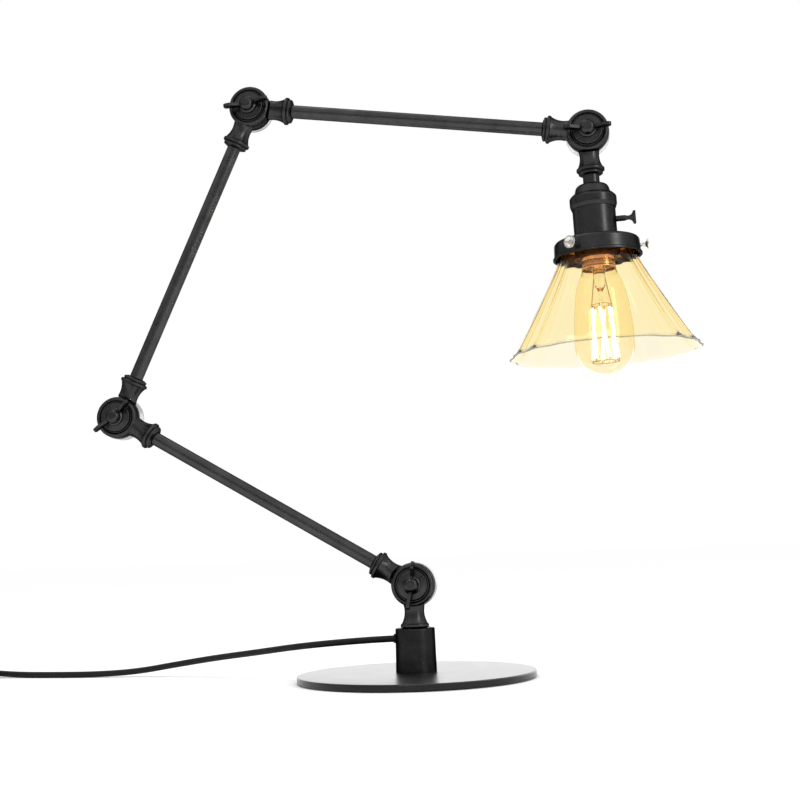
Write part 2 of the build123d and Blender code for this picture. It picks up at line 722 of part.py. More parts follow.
def coil_and_plug(route_length):
    """The put-away length as a tied coil, and the plug beside it."""
    lead_in = 5.0
    straight = 10.0
    bend = 26.0
    plug_z = PLUG_HALF_H + 0.3
    top_z = COIL_Z + 3 * COIL_LAYER
    swing = math.acos(1 - (top_z - plug_z) / (2 * bend))
    tail = straight + 2 * bend * swing + lead_in
    middle = (CORD_LENGTH - route_length - lead_in - tail) / (COIL_HALF_TURNS * math.pi)
    radii = coil_radii(middle)
    start = Vector(*CORD_ROUTE[-1])
    point = start + Vector(-lead_in, 0, 0)
    edges = [Line(start, point)]
    climbs = (4, 8, 12)
    side = 1
    for i, r in enumerate(radii):
        rise = COIL_LAYER if i in climbs else 0.0
        end = point + Vector(0, -side * 2 * r, rise)
        half = (end - point).length / 2
        middle_point = (point + end) * 0.5 + Vector(-side * half, 0, 0)
        edges.append(ThreePointArc(point, middle_point, end))
        point = end
        side = -side
    flat = point + Vector(-straight, 0, 0)
    drop = bend * (1 - math.cos(swing))
    reach = bend * math.sin(swing)
    near = bend * math.sin(swing / 2)
    sink = bend * (1 - math.cos(swing / 2))
    half_way = flat + Vector(-reach, 0, -drop)
    foot = half_way + Vector(-reach, 0, -drop)
    plug_at = foot + Vector(-lead_in, 0, 0)
    edges.append(Line(point, flat))
    edges.append(ThreePointArc(flat, flat + Vector(-near, 0, -sink), half_way))
    edges.append(ThreePointArc(half_way, foot + Vector(near, 0, sink), foot))
    edges.append(Line(foot, plug_at))
    path = Wire(edges)
    coil = round_tube(path)
    section = math.pi * CORD_R**2
    print("coil volume over section times length", round(coil.volume / (section * path.length), 4))
    print("coil length", round(path.length), "mean turn", round(2 * middle, 1), "in all", round(route_length + path.length))
    report_gap(path)
    centre = start + Vector(-lead_in, -radii[0], 0)
    return coil, coil_tie(centre, radii), plug_pieces(plug_at)


def report_gap(path):
    """Print the least gap between the coil's turns, on points along it."""
    count = 1200
    step = path.length / count
    points = [path @ (i / count) for i in range(count + 1)]
    apart = int(4 * CORD_R * 2 / step)
    least = min(
        (points[i] - points[j]).length
        for i in range(count + 1)
        for j in range(i + apart, count + 1)
    )
    print("least gap in the coil", round(least - 2 * CORD_R, 2))


def coil_tie(centre, radii):
    """Strap round the coil's turns on its far side."""
    low = 0.05
    high = COIL_Z + 3 * COIL_LAYER + CORD_R + 0.4 + TIE_T
    inner = min(radii) - CORD_R - 1.6 - TIE_T
    outer = max(radii) + CORD_R + 0.6 + TIE_T
    wide = outer - inner
    tall = high - low
    middle = Vector(centre.X - (inner + outer) / 2, centre.Y, (low + high) / 2)
    band = RectangleRounded(wide, tall, 2.2)
    band -= RectangleRounded(wide - 2 * TIE_T, tall - 2 * TIE_T, 1.2)
    face = Plane(origin=middle, x_dir=(1, 0, 0), z_dir=(0, -1, 0)) * band
    return extrude(face, TIE_W / 2, both=True)


def plug_pieces(at):
    """Two-blade plug lying flat, its sleeve tapering to the cord."""
    place = Plane(origin=at, x_dir=(0, 1, 0), z_dir=(-1, 0, 0)).location
    sleeve = 12.0
    sections = [
        Pos(0, 0, sleeve) * RectangleRounded(2 * PLUG_HALF_W * 0.7, 2 * PLUG_HALF_H * 0.8, 3.5),
        Pos(0, 0, sleeve + 9) * RectangleRounded(2 * PLUG_HALF_W, 2 * PLUG_HALF_H, 4.5),
        Pos(0, 0, sleeve + PLUG_LENGTH - 8) * RectangleRounded(2 * PLUG_HALF_W, 2 * PLUG_HALF_H, 4.5),
    ]
    body = loft(sections, ruled=True)
    body += turned((0, 0), (CORD_R + 0.7, 0, 0.3), (CORD_R + 2.2, sleeve + 0.5), (0, sleeve + 0.5))
    face = sleeve + PLUG_LENGTH - 8
    blades = []
    for side in (-1, 1):
        blade = Box(BLADE_T, BLADE_H, BLADE_LENGTH, align=(Align.CENTER, Align.CENTER, Align.MIN))
        blades.append(place * Pos(side * BLADE_SPACING / 2, 0, face) * blade)
    return {"plug_body": place * body, "plug_blades": Compound(children=blades)}


def arm_pieces(name, first, second, degrees, back):
    """One arm: back half at its first pivot, rod, lead, and front half at its second."""
    at_first = at_pivot(first, degrees)
    at_second = at_pivot(second, degrees + 180)
    return {
        f"{name}_knuckle_in": at_first * BACK_HALF,
        f"{name}_rod": at_first * arm_rod(),
        f"{name}_lead": at_first * arm_lead(),
        f"{name}_knuckle_out": at_second * FRONT_HALF,
        f"{name}_friction_ring": at_second * friction_ring(),
        f"{back}_bolt": at_first * clamp_bolt(),
    }


def all_pieces():
    pieces = base_pieces()
    at_base = at_pivot(BASE_PIVOT, POST_DIR)
    pieces["base_knuckle"] = at_base * FRONT_HALF
    pieces["base_lead"] = at_base * ALONG_X * tube(LEAD_R, 0, LEAD_END, NECK_END)
    pieces["base_friction_ring"] = at_base * friction_ring()
    pieces |= arm_pieces("lower", BASE_PIVOT, LOWER_ELBOW, LOWER_DIR, "base")
    pieces |= arm_pieces("middle", LOWER_ELBOW, UPPER_ELBOW, MIDDLE_DIR, "lower")
    pieces |= arm_pieces("upper", UPPER_ELBOW, HEAD_PIVOT, UPPER_DIR, "middle")
    at_head = at_pivot(HEAD_PIVOT, HEAD_DIR)
    pieces["head_knuckle"] = at_head * BACK_HALF
    pieces["head_bolt"] = at_head * clamp_bolt()
    wings = {
        "base_wing_nut": (BASE_PIVOT, BASE_WING_TURN),
        "lower_wing_nut": (LOWER_ELBOW, LOWER_WING_TURN),
        "middle_wing_nut": (UPPER_ELBOW, MIDDLE_WING_TURN),
        "head_wing_nut": (HEAD_PIVOT, HEAD_WING_TURN),
    }
    for name, (pivot, turn) in wings.items():
        pieces[name] = at_pivot(pivot, 0) * wing_nut(turn)
    on_axis = socket_pieces() | holder_pieces() | bulb_pieces()
    on_axis["switch_key"] = switch_key()
    on_axis["shade"] = glass_shade()
    for name, piece in on_axis.items():
        pieces[name] = down_head() * piece
    cord, route_length = free_cord()
    coil, tie, plug = coil_and_plug(route_length)
    pieces |= {"cord": cord, "cord_coil": coil, "coil_tie": tie}
    pieces |= plug
    return pieces


os.makedirs("parts", exist_ok=True)
for name, piece in all_pieces().items():
    export_step(piece, f"parts/{name}.step")
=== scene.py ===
import bpy
import bmesh
import json
import math
from mathutils import Matrix, Vector


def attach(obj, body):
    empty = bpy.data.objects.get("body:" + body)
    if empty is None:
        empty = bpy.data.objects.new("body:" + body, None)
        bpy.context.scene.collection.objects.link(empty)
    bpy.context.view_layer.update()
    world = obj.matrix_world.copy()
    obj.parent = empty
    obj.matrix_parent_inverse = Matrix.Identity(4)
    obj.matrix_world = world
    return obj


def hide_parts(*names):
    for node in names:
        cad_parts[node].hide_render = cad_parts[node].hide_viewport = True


# Looks of a jointed table lamp with a fluted glass shade, in metres, round its fixed frame.
# The sizes of pieces that are modelled here are in millimetres.
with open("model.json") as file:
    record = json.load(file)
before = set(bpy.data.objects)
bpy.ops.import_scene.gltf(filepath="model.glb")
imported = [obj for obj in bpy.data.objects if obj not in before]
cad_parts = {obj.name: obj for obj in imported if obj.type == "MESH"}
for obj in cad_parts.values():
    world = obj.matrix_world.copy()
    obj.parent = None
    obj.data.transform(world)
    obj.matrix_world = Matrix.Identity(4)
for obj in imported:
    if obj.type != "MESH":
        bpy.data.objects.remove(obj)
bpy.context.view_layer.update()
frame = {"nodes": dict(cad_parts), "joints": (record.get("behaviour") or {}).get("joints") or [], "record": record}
nodes = frame["nodes"]

MM = 0.001
SLOTS = {subpart["node"]: subpart["material_slot"] for subpart in frame["record"]["subparts"]}
JOINTS = {joint["name"]: joint for joint in frame["joints"]}

# The head's own frame: X along the switch key, Y to the front, Z down the axis from its pivot
ACROSS = Vector(JOINTS["switch_key_turn"]["axis"]).normalized()
HEAD = Matrix((ACROSS, Vector((0, -1, 0)), Vector((ACROSS.z, 0, -ACROSS.x)))).transposed().to_4x4()
HEAD.translation = Vector(JOINTS["head_pivot"]["pos_m"])

# Camera: a natural perspective, turned and tipped as the photograph is
LENS_MM = 56.45
SENSOR_MM = 36.0
CLIP_NEAR = 0.01
CLIP_FAR = 60.0
CAMERA_AT = Vector((0.12844, -0.8994, 0.08937))
CAMERA_YAW = math.radians(8.44)
CAMERA_PITCH = math.radians(6.95)
CAMERA_ROLL = math.radians(2.03)


def make_camera():
    ahead = Vector(
        (
            -math.sin(CAMERA_YAW) * math.cos(CAMERA_PITCH),
            math.cos(CAMERA_YAW) * math.cos(CAMERA_PITCH),
            math.sin(CAMERA_PITCH),
        )
    )
    level = Vector((math.cos(CAMERA_YAW), math.sin(CAMERA_YAW), 0))
    upright = level.cross(ahead)
    right = math.cos(CAMERA_ROLL) * level - math.sin(CAMERA_ROLL) * upright
    up = math.sin(CAMERA_ROLL) * level + math.cos(CAMERA_ROLL) * upright
    data = bpy.data.cameras.new("camera")
    data.lens = LENS_MM
    data.sensor_width = SENSOR_MM
    data.clip_start = CLIP_NEAR
    data.clip_end = CLIP_FAR
    camera = bpy.data.objects.new("camera", data)
    turn = Matrix((right, up, -ahead)).transposed()
    camera.matrix_world = Matrix.Translation(CAMERA_AT) @ turn.to_4x4()
    bpy.context.scene.collection.objects.link(camera)
    bpy.context.scene.camera = camera


# Materials: the range that a noise texture mostly keeps to, and how far greys lean to blue
NOISE_LOW = 0.3
NOISE_HIGH = 0.7
COOL_BLUE = 1.03


class Look:
    """A procedural material: one Principled shader and the nodes that vary it."""

    def __init__(self, name):
        self.material = bpy.data.materials.new(name)
        self.material.use_nodes = True
        self.tree = self.material.node_tree
        self.shader = self.tree.nodes["Principled BSDF"]
        self.place = self.tree.nodes.new("ShaderNodeTexCoord").outputs["Object"]

    def set(self, **values):
        for name, value in values.items():
            self.shader.inputs[name.replace("_", " ")].default_value = value

    def noise(self, scale, detail):
        node = self.tree.nodes.new("ShaderNodeTexNoise")
        node.inputs["Scale"].default_value = scale
        node.inputs["Detail"].default_value = detail
        self.tree.links.new(self.place, node.inputs["Vector"])
        return node.outputs["Fac"]

    def colour(self, factor, dark, light, low=NOISE_LOW, high=NOISE_HIGH):
        node = self.tree.nodes.new("ShaderNodeValToRGB")
        self.tree.links.new(factor, node.inputs["Fac"])
        stops = ((low, dark), (high, light))
        for element, (at, tone) in zip(node.color_ramp.elements, stops):
            element.position = at
            element.color = (*tone, 1)
        self.tree.links.new(node.outputs["Color"], self.shader.inputs["Base Color"])

    def spread(self, factor, low, high):
        """A node that spreads what lies between low and high, over 0 to 1 unless its caller sets more."""
        node = self.tree.nodes.new("ShaderNodeMapRange")
        node.inputs["From Min"].default_value = low
        node.inputs["From Max"].default_value = high
        self.tree.links.new(factor, node.inputs["Value"])
        return node

    def roughness(self, factor, low, high):
        node = self.spread(factor, NOISE_LOW, NOISE_HIGH)
        node.inputs["To Min"].default_value = low
        node.inputs["To Max"].default_value = high
        self.tree.links.new(node.outputs["Result"], self.shader.inputs["Roughness"])

    def bump(self, factor, height, strength):
        node = self.tree.nodes.new("ShaderNodeBump")
        node.inputs["Strength"].default_value = strength
        node.inputs["Distance"].default_value = height
        self.tree.links.new(factor, node.inputs["Height"])
        self.tree.links.new(node.outputs["Normal"], self.shader.inputs["Normal"])

    def absorb(self, tint, density):
        """Tint the light by the length of its way through the solid."""
        node = self.tree.nodes.new("ShaderNodeVolumeAbsorption")
        node.inputs["Color"].default_value = (*tint, 1)
        node.inputs["Density"].default_value = density
        self.tree.links.new(node.outputs["Volume"], self.tree.nodes["Material Output"].inputs["Volume"])


def grey(value):
    return (value, value, value * COOL_BLUE)


def satin(look):
    """Fine satin surface of painted metal, whatever its colour."""
    look.roughness(look.noise(scale=260.0, detail=3.0), low=0.26, high=0.38)
    look.bump(look.noise(scale=1600.0, detail=2.0), height=0.00004, strength=0.3)
    look.set(Metallic=1.0, Specular_Tint=(0.3, 0.3, 0.3, 1))
    return look.material


def satin_black(name, dark, light):
    look = Look(name)
    look.colour(look.noise(scale=90.0, detail=4.0), grey(dark), grey(light))
    return satin(look)


def gloss_black():
    look = Look("gloss_black")
    look.colour(look.noise(scale=40.0, detail=4.0), grey(0.005), grey(0.008))
    look.roughness(look.noise(scale=60.0, detail=2.0), low=0.38, high=0.42)
    look.set(IOR=1.24, Coat_Weight=1.0, Coat_IOR=1.24, Coat_Roughness=0.3)
    return look.material


def bright_metal(name, dark, light, low, high):
    """Bare metal between two colours and two roughnesses."""
    look = Look(name)
    look.set(Metallic=1.0)
    look.colour(look.noise(scale=300.0, detail=3.0), dark, light)
    look.roughness(look.noise(scale=900.0, detail=2.0), low, high)
    look.bump(look.noise(scale=2500.0, detail=2.0), height=0.00002, strength=0.2)
    return look.material


def plain_solid(name, dark, light, low, high, ior=1.45):
    """Plastic, rubber or card between two colours and two roughnesses."""
    look = Look(name)
    look.set(IOR=ior)
    look.colour(look.noise(scale=100.0, detail=4.0), dark, light)
    look.roughness(look.noise(scale=400.0, detail=3.0), low, high)
    look.bump(look.noise(scale=1200.0, detail=3.0), height=0.00004, strength=0.5)
    return look.material


def clear_glass(name, tint, density, ior=1.45, rough=0.0):
    look = Look(name)
    look.set(Transmission_Weight=1.0, IOR=ior, Base_Color=(1, 1, 1, 1), Roughness=rough)
    look.absorb(tint, density)
    return look.material


def lit_filament():
    look = Look("lit_filament")
    look.set(Roughness=0.5, Base_Color=(1.0, 0.8, 0.4, 1))
    look.set(Emission_Color=(1.0, 0.78, 0.42, 1), Emission_Strength=9.0)
    return look.material


BLACK = satin_black("satin_black", dark=0.040, light=0.058)
# The rods' black is a lighter copy of the same paint: painted light, for the light that falls on them from above.
ROD_BLACK_PAINTED_LIGHT = satin_black("rod_black_painted_light", dark=0.052, light=0.072)
# The post's black is a darker copy of the same paint: painted shade, for the dark that faces it from the front and
# sides.
POST_BLACK_PAINTED_SHADE = satin_black("post_black_painted_shade", dark=0.022, light=0.032)
GLOSS = gloss_black()
# Bright metal on the back discs' rims is a painted reflection of the white sheen on their black edges.
RIM_PAINTED_SHEEN = bright_metal("rim_painted_sheen", (0.34, 0.34, 0.35), (0.42, 0.42, 0.43), low=0.3, high=0.4)
STEEL = bright_metal("zinc_steel", (0.45, 0.45, 0.45), (0.62, 0.62, 0.62), low=0.25, high=0.4)
NICKEL = bright_metal("bright_nickel", (0.66, 0.63, 0.58), (0.8, 0.78, 0.74), low=0.12, high=0.22)
BRASS = bright_metal("brass", (0.95, 0.64, 0.38), (1.0, 0.76, 0.50), low=0.18, high=0.32)
CAP_METAL = bright_metal("cap_copper", (0.56, 0.25, 0.13), (0.74, 0.37, 0.20), low=0.2, high=0.34)
COPPER = bright_metal("copper", (0.34, 0.17, 0.10), (0.46, 0.25, 0.15), low=0.28, high=0.42)
RUBBER = plain_solid("cord_rubber", grey(0.005), grey(0.009), low=0.5, high=0.65, ior=1.3)
PAD = plain_solid("foam_pad", grey(0.02), grey(0.035), low=0.85, high=0.95)
NYLON = plain_solid("nylon", (0.7, 0.69, 0.66), (0.8, 0.79, 0.76), low=0.4, high=0.5)
PHENOLIC = plain_solid("phenolic", (0.03, 0.02, 0.015), (0.05, 0.035, 0.025), low=0.2, high=0.3)
CARD = plain_solid("insulating_card", (0.4, 0.28, 0.16), (0.55, 0.4, 0.25), low=0.7, high=0.9)
SHADE = clear_glass("shade_glass", tint=(0.985, 0.84, 0.25), density=240.0, ior=1.2)
BULB = clear_glass("bulb_glass", tint=(0.99, 0.79, 0.1), density=300.0, ior=1.35)
STEM = clear_glass("stem_glass", tint=(0.98, 0.9, 0.7), density=20.0, rough=0.03)
FILAMENT = lit_filament()

FINISHES = {
    "black_metal": BLACK,
    "steel": STEEL,
    "nickel": NICKEL,
    "brass": BRASS,
    "shade_glass": SHADE,
    "bulb_glass": BULB,
    "filament": FILAMENT,
    "cord_rubber": RUBBER,
    "lead": RUBBER,
    "nylon": NYLON,
    "phenolic": PHENOLIC,
    "card": CARD,
    "pad": PAD,
}


def dress(piece, material):
    piece.data.materials.clear()
    piece.data.materials.append(material)


def dress_nodes():
    for node, slot in SLOTS.items():
        dress(nodes[node], FINISHES[slot])
    dress(nodes["base_plate"], GLOSS)
    dress(nodes["bulb_stem"], STEM)
    # The rods get the lighter copy of the black paint, which is painted light.
    for rod in ("lower_rod", "middle_rod", "upper_rod"):
        dress(nodes[rod], ROD_BLACK_PAINTED_LIGHT)


# Cord: a listed route, then the coil of its put-away length.
# Its radius is in metres, and the rest is in millimetres.
CORD_R = 0.0024
CORD_ROUTE_MM = [
    (-9.0, 0.0, 28.9),
    (-30.0, 0.0, 28.7),
    (-84.0, 8.0, 24.9),
    (-124.0, 28.0, 19.4),
    (-162.0, 47.0, 14.6),
    (-198.0, 59.0, 9.2),
    (-232.0, 65.3, 3.9),
    (-266.0, 64.5, 2.45),
    (-302.0, 68.5, 2.45),
    (-336.0, 76.5, 2.45),
    (-363.0, 85.0, 3.7),
    (-385.0, 85.0, 3.7),
]
COIL_OUTER_R = 29.65
COIL_STEP = 2.75
COIL_STEPS = (1, 0, -1, -2, -3, -2, -1, 0, 1, 0, -1, -2, -3, -2, -1, 0)
COIL_CLIMBS = (4, 8, 12)
COIL_LAYER = 5.3
COIL_LEAD_IN = 5.0
POINTS_A_HALF_TURN = 8
TAIL_STRAIGHT = 10.0
TAIL_BEND = 26.0
PLUG_AXIS_Z = 7.8


def coil_points():
    """Control points of the put-away coil, its tail and the plug's end of the cord, in millimetres."""
    # A control polygon of equal steps carries a circle a little inside its corners.
    widen = 1 / (0.75 + 0.25 * math.cos(math.pi / POINTS_A_HALF_TURN))
    point = Vector(CORD_ROUTE_MM[-1]) - Vector((COIL_LEAD_IN, 0, 0))
    points = []
    side = 1
    for i, step in enumerate(COIL_STEPS):
        r = COIL_OUTER_R + step * COIL_STEP
        rise = COIL_LAYER if i in COIL_CLIMBS else 0.0
        centre = point - Vector((0, side * r, 0))
        for k in range(POINTS_A_HALF_TURN):
            a = math.pi * (k + 0.5) / POINTS_A_HALF_TURN
            spoke = Vector((-math.sin(a), math.cos(a), 0)) * side * r * widen
            lift = rise * (1 - math.cos(a)) / 2
            points.append(centre + spoke + Vector((0, 0, lift)))
        point = point + Vector((0, -side * 2 * r, rise))
        side = -side
    swing = math.acos(1 - (point.z - PLUG_AXIS_Z) / (2 * TAIL_BEND))
    reach = 2 * TAIL_BEND * math.sin(swing)
    corner = TAIL_BEND * math.tan(swing / 2)
    flat = point - Vector((TAIL_STRAIGHT, 0, 0))
    foot = Vector((flat.x - reach, flat.y, PLUG_AXIS_Z))
    points += [point, flat, flat - Vector((corner, 0, 0)), foot + Vector((corner, 0, 0)), foot]
    points.append(foot - Vector((COIL_LEAD_IN, 0, 0)))
    return points


def make_cord():
    points = [Vector(p) for p in CORD_ROUTE_MM] + coil_points()
    curve = bpy.data.curves.new("cord_line", "CURVE")
    curve.dimensions = "3D"
    # The bevel is a unit circle, and each point's radius makes it the cord's.
    curve.bevel_depth = 1.0
    curve.bevel_resolution = 5
    curve.use_fill_caps = True
    curve.resolution_u = 8
    spline = curve.splines.new("NURBS")
    spline.points.add(len(points) - 1)
    for slot, p in zip(spline.points, points):
        slot.co = (p.x * MM, p.y * MM, p.z * MM, 1)
        slot.radius = CORD_R
    spline.order_u = 3
    spline.use_endpoint_u = True
    cord = bpy.data.objects.new("flex", curve)
    bpy.context.scene.collection.objects.link(cord)
    dress(cord, RUBBER)
    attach(cord, "base")
    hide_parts("cord", "cord_coil")


# Turned pieces: how they are skinned
SHARP_ANGLE = math.radians(35)
ARC_STEPS = 12
SEGMENTS_WIDE = 120
SEGMENTS = 96
SEGMENTS_SMALL = 72


def add_piece(name, build, place, body, material, *replaced):
    """Finish a mesh in its own frame, place it, and let it stand for the named nodes."""
    bmesh.ops.recalc_face_normals(build, faces=build.faces)
    mesh = bpy.data.meshes.new(name)
    build.to_mesh(mesh)
    build.free()
    mesh.transform(place)
    for face in mesh.polygons:
        face.use_smooth = True
    mesh.set_sharp_from_angle(angle=SHARP_ANGLE)
    piece = bpy.data.objects.new(name, mesh)
    bpy.context.scene.collection.objects.link(piece)
    dress(piece, material)
    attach(piece, body)
    if replaced:
        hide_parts(*replaced)


def spin(rows, segments, closed=False, waves=0, into=None, place=Matrix()):
    """Skin of revolution about Z through (radius, height, wave depth) rows, in millimetres."""
    build = into or bmesh.new()
    rings = []
    for row in rows:
        radius, height = row[0], row[1]
        depth = row[2] if len(row) > 2 else 0.0
        if radius == 0:
            rings.append([build.verts.new(place @ Vector((0, 0, height * MM)))])
            continue
        ring = []
        for i in range(segments):
            a = 2 * math.pi * i / segments
            r = (radius + depth * math.cos(waves * a)) * MM
            ring.append(build.verts.new(place @ Vector((r * math.cos(a), r * math.sin(a), height * MM))))
        rings.append(ring)
    pairs = list(zip(rings, rings[1:]))
    if closed:
        pairs.append((rings[-1], rings[0]))
    for first, second in pairs:
        for i in range(segments):
            k = (i + 1) % segments
            near = [first[i % len(first)], first[k % len(first)]]
            far = [second[k % len(second)], second[i % len(second)]]
            # A ring of one point gives a triangle.
            build.faces.new(dict.fromkeys(near + far))
    return build


def rounded(*corners):
    """Rows of a profile through (radius, height, rounding) corners, each rounding an arc."""
    points = [Vector(corner[:2]) for corner in corners]
    rows = []
    for i, corner in enumerate(corners):
        if len(corner) < 3:
            rows.append(corner)
            continue
        back = (points[i - 1] - points[i]).normalized()
        ahead = (points[i + 1] - points[i]).normalized()
        half = back.angle(ahead) / 2
        middle = points[i] + (back + ahead).normalized() * corner[2] / math.sin(half)
        first = points[i] + back * corner[2] / math.tan(half) - middle
        last = points[i] + ahead * corner[2] / math.tan(half) - middle
        swing = math.pi - 2 * half
        for k in range(ARC_STEPS + 1):
            t = k / ARC_STEPS
            spoke = (first * math.sin((1 - t) * swing) + last * math.sin(t * swing)) / math.sin(swing)
            rows.append(tuple(middle + spoke))
    return rows


def smooth(table, at):
    """Values between the rows of a table, by a smooth curve through its points."""
    last = len(table) - 1
    i = max(0, min(last - 1, sum(1 for row in table if row[0] <= at) - 1))
    near = [table[max(0, min(last, k))] for k in (i - 1, i, i + 1, i + 2)]
    span = near[2][0] - near[1][0]
    t = (at - near[1][0]) / span
    values = []
    for column in range(1, len(table[0])):
        before = (near[2][column] - near[0][column]) / (near[2][0] - near[0][0]) * span
        after = (near[3][column] - near[1][column]) / (near[3][0] - near[1][0]) * span
        values.append(
            (2 * t**3 - 3 * t**2 + 1) * near[1][column]
            + (t**3 - 2 * t**2 + t) * before
            + (3 * t**2 - 2 * t**3) * near[2][column]
            + (t**3 - t**2) * after
        )
    return values


# Glass shade, down the head's axis
FLUTES = 16
FLUTE_DEPTH = 0.85
POINTS_A_FLUTE = 12
GLASS_WALL = 1.9
SHADE_TOP = 83.5
SHADE_BODY = 92.0
SHADE_RIM = 164.0
SHADE_NECK_R = 28.4
SHADE_RIM_R = 68.2
SHADE_STEPS = 44
SHADE_NECK_BEVEL = 0.8
SHADE_EDGE_TUCK = 0.15
SHADE_EDGE_ROLL = 0.5
SHADE_EDGE_HALF = 0.75
# Share of the height from body to rim, share of the widening from neck to rim, share of the flutes' depth
SHADE_PROFILE = [
    (-0.139, 0.000, 0.0),
    (-0.070, 0.000, 0.1),
    (0.000, 0.000, 0.3),
    (0.070, 0.018, 0.55),
    (0.167, 0.090, 0.75),
    (0.417, 0.335, 0.9),
    (0.694, 0.618, 1.0),
    (0.868, 0.804, 1.0),
    (0.935, 0.885, 1.0),
    (1.000, 1.000, 1.0),
]


def make_shade():
    """Fluted glass: outer skin down to the rim, a round edge, and the inner skin back up."""
    outer = []
    for i in range(SHADE_STEPS + 1):
        height = SHADE_TOP + (SHADE_RIM - SHADE_TOP) * i / SHADE_STEPS
        share, depth = smooth(SHADE_PROFILE, (height - SHADE_BODY) / (SHADE_RIM - SHADE_BODY))
        radius = SHADE_NECK_R + (SHADE_RIM_R - SHADE_NECK_R) * share
        outer.append((radius, height, FLUTE_DEPTH * depth))
    outer[0] = (outer[0][0] - SHADE_NECK_BEVEL, SHADE_TOP, 0.0)
    outer.insert(1, (outer[1][0], SHADE_TOP + SHADE_NECK_BEVEL, 0.0))
    inner = [(radius - GLASS_WALL, height, depth) for radius, height, depth in reversed(outer[2:])]
    inner.append((SHADE_NECK_R - GLASS_WALL, SHADE_TOP + SHADE_NECK_BEVEL, 0.0))
    inner.append((SHADE_NECK_R - GLASS_WALL + SHADE_NECK_BEVEL, SHADE_TOP, 0.0))
    rim_r, rim_z, rim_wave = outer[-1]
    outer[-1] = (rim_r - SHADE_EDGE_TUCK, rim_z - SHADE_EDGE_ROLL, rim_wave)
    inner[0] = (rim_r - GLASS_WALL + SHADE_EDGE_TUCK, rim_z - SHADE_EDGE_ROLL, rim_wave)
    middle = rim_r - GLASS_WALL / 2
    edge = [(middle + SHADE_EDGE_HALF, rim_z, rim_wave), (middle - SHADE_EDGE_HALF, rim_z, rim_wave)]
    build = spin(outer + edge + inner, POINTS_A_FLUTE * FLUTES, closed=True, waves=FLUTES)
    add_piece("fluted_shade", build, HEAD, "head", SHADE, "shade")


# Bulb glass, down the head's axis. The profile gives heights and radii, up to where the round end starts.
BULB_R = 21.5
BULB_NECK_R = 11.9
BULB_WALL = 0.8
BULB_START = 92.0
BULB_ROUND = 157.5
BULB_TIP = BULB_ROUND + BULB_R
BULB_SIDE_STEPS = 60
BULB_ROUND_STEPS = 28
BULB_PROFILE = [
    (BULB_START, BULB_NECK_R),
    (98.0, BULB_NECK_R),
    (102.0, 12.0),
    (105.5, 13.7),
    (110.0, 15.9),
    (116.0, 17.9),
    (124.0, 19.5),
    (136.0, 20.8),
    (148.0, BULB_R),
    (BULB_ROUND, BULB_R),
]


def bulb_skin(inset):
    """Profile of the bulb from its neck to its tip, drawn in by the glass."""
    rows = []
    for i in range(BULB_SIDE_STEPS + 1):
        height = BULB_START + (BULB_ROUND - BULB_START) * i / BULB_SIDE_STEPS
        rows.append((smooth(BULB_PROFILE, height)[0] - inset, height))
    wide = BULB_R - inset
    for i in range(1, BULB_ROUND_STEPS):
        a = math.pi / 2 * i / BULB_ROUND_STEPS
        rows.append((wide * math.cos(a), BULB_ROUND + wide * math.sin(a)))
    rows.append((0, BULB_TIP - inset))
    return rows


def make_bulb():
    rows = list(reversed(bulb_skin(BULB_WALL))) + bulb_skin(0.0)
    add_piece("bulb_envelope", spin(rows, SEGMENTS), HEAD, "head", BULB, "bulb_glass")


# Filaments: lit sticks between two wire rings, held by two leads
FILAMENTS = 6
FILAMENT_TOP_TURN = 46.0
FILAMENT_END_TURN = 14.0
FILAMENT_TOP = 129.0
FILAMENT_END = 170.0
FILAMENT_TOP_RING = 7.0
FILAMENT_END_RING = 9.5
STICK_R = 1.0
STICK_END_R = 0.7
STICK_TAPER = 0.6
STICK_SEGMENTS = 16
WIRE_R = 0.3
WIRE_SEGMENTS = 10
HOOP_SEGMENTS = 48
PIN_LENGTH = 2.5
LEAD_TOP = 99.0
LEAD_APART = 2.4


def on_ring(radius, degrees, height):
    a = math.radians(degrees)
    return Vector((radius * math.cos(a), radius * math.sin(a), height))


def between(start, end):
    """Place whose Z runs from one point to another, and the length of the way, in millimetres."""
    along = end - start
    place = along.to_track_quat("Z", "Y").to_matrix().to_4x4()
    place.translation = start * MM
    return place, along.length


def add_hoop(wires, ring, height):
    hoop = []
    for k in range(WIRE_SEGMENTS):
        a = 2 * math.pi * k / WIRE_SEGMENTS
        hoop.append((ring + WIRE_R * math.cos(a), height + WIRE_R * math.sin(a)))
    spin(hoop, HOOP_SEGMENTS, closed=True, into=wires)


def add_wire(wires, place, length):
    rows = [(0, 0), (WIRE_R, 0), (WIRE_R, length), (0, length)]
    spin(rows, WIRE_SEGMENTS, into=wires, place=place)


def add_stick(sticks, place, length):
    low = PIN_LENGTH
    high = length - PIN_LENGTH
    rows = [
        (0, low),
        (STICK_END_R, low),
        (STICK_R, low + STICK_TAPER),
        (STICK_R, high - STICK_TAPER),
        (STICK_END_R, high),
        (0, high),
    ]
    spin(rows, STICK_SEGMENTS, into=sticks, place=place)


def make_filaments():
    sticks = bmesh.new()
    wires = bmesh.new()
    add_hoop(wires, FILAMENT_TOP_RING, FILAMENT_TOP)
    add_hoop(wires, FILAMENT_END_RING, FILAMENT_END)
    for i in range(FILAMENTS):
        turn = 360 * i / FILAMENTS
        top = on_ring(FILAMENT_TOP_RING, FILAMENT_TOP_TURN + turn, FILAMENT_TOP)
        end = on_ring(FILAMENT_END_RING, FILAMENT_END_TURN + turn, FILAMENT_END)
        place, length = between(top, end)
        add_stick(sticks, place, length)
        add_wire(wires, place, length)
    for side in (-1, 1):
        start = Vector((side * LEAD_APART, 0, LEAD_TOP))
        end = Vector((side * FILAMENT_TOP_RING, 0, FILAMENT_TOP))
        add_wire(wires, *between(start, end))
    add_piece("filament_sticks", sticks, HEAD, "head", FILAMENT, "bulb_filaments")
    add_piece("filament_wires", wires, HEAD, "head", COPPER)


